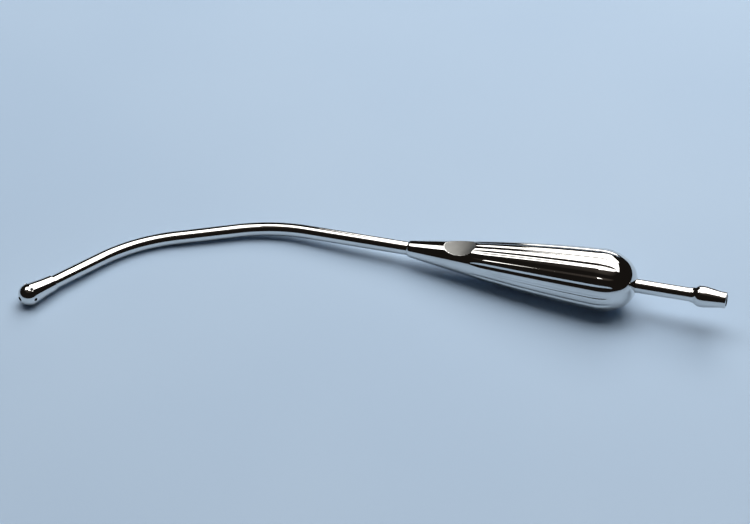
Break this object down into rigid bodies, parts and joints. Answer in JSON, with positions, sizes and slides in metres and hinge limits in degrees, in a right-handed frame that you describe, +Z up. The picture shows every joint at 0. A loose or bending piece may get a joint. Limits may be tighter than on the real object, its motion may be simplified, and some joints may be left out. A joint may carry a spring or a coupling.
{
  "type": "yankauer suction tip",
  "caption": "Metal yankauer suction tube: ball tip with holes, double-bent thin tube, hollow fluted handle with thumb rest, olive for the hose.",
  "frame": {"origin": "on the table, below the middle of the box round the tube as it lies on its side", "axes": "+X along the whole length, from the ball tip to the hose olive; +Y to the outer side of the bends, away from the viewer; +Z up from the table"},
  "size_m": [0.2792, 0.0621, 0.0251],
  "materials": {
    "suction_tip": "mirror-polished chrome plate on brass",
    "shaft_tube": "mirror-polished chrome plate on brass",
    "handle_shell": "mirror-polished chrome plate on brass, thumb rest softly buffed",
    "hose_olive": "mirror-polished chrome plate on brass"
  },
  "bodies": {
    "root": {"suction_tip": "suction_tip", "shaft_tube": "shaft_tube", "handle_shell": "handle_shell", "hose_olive": "hose_olive"}
  },
  "joints": []
}
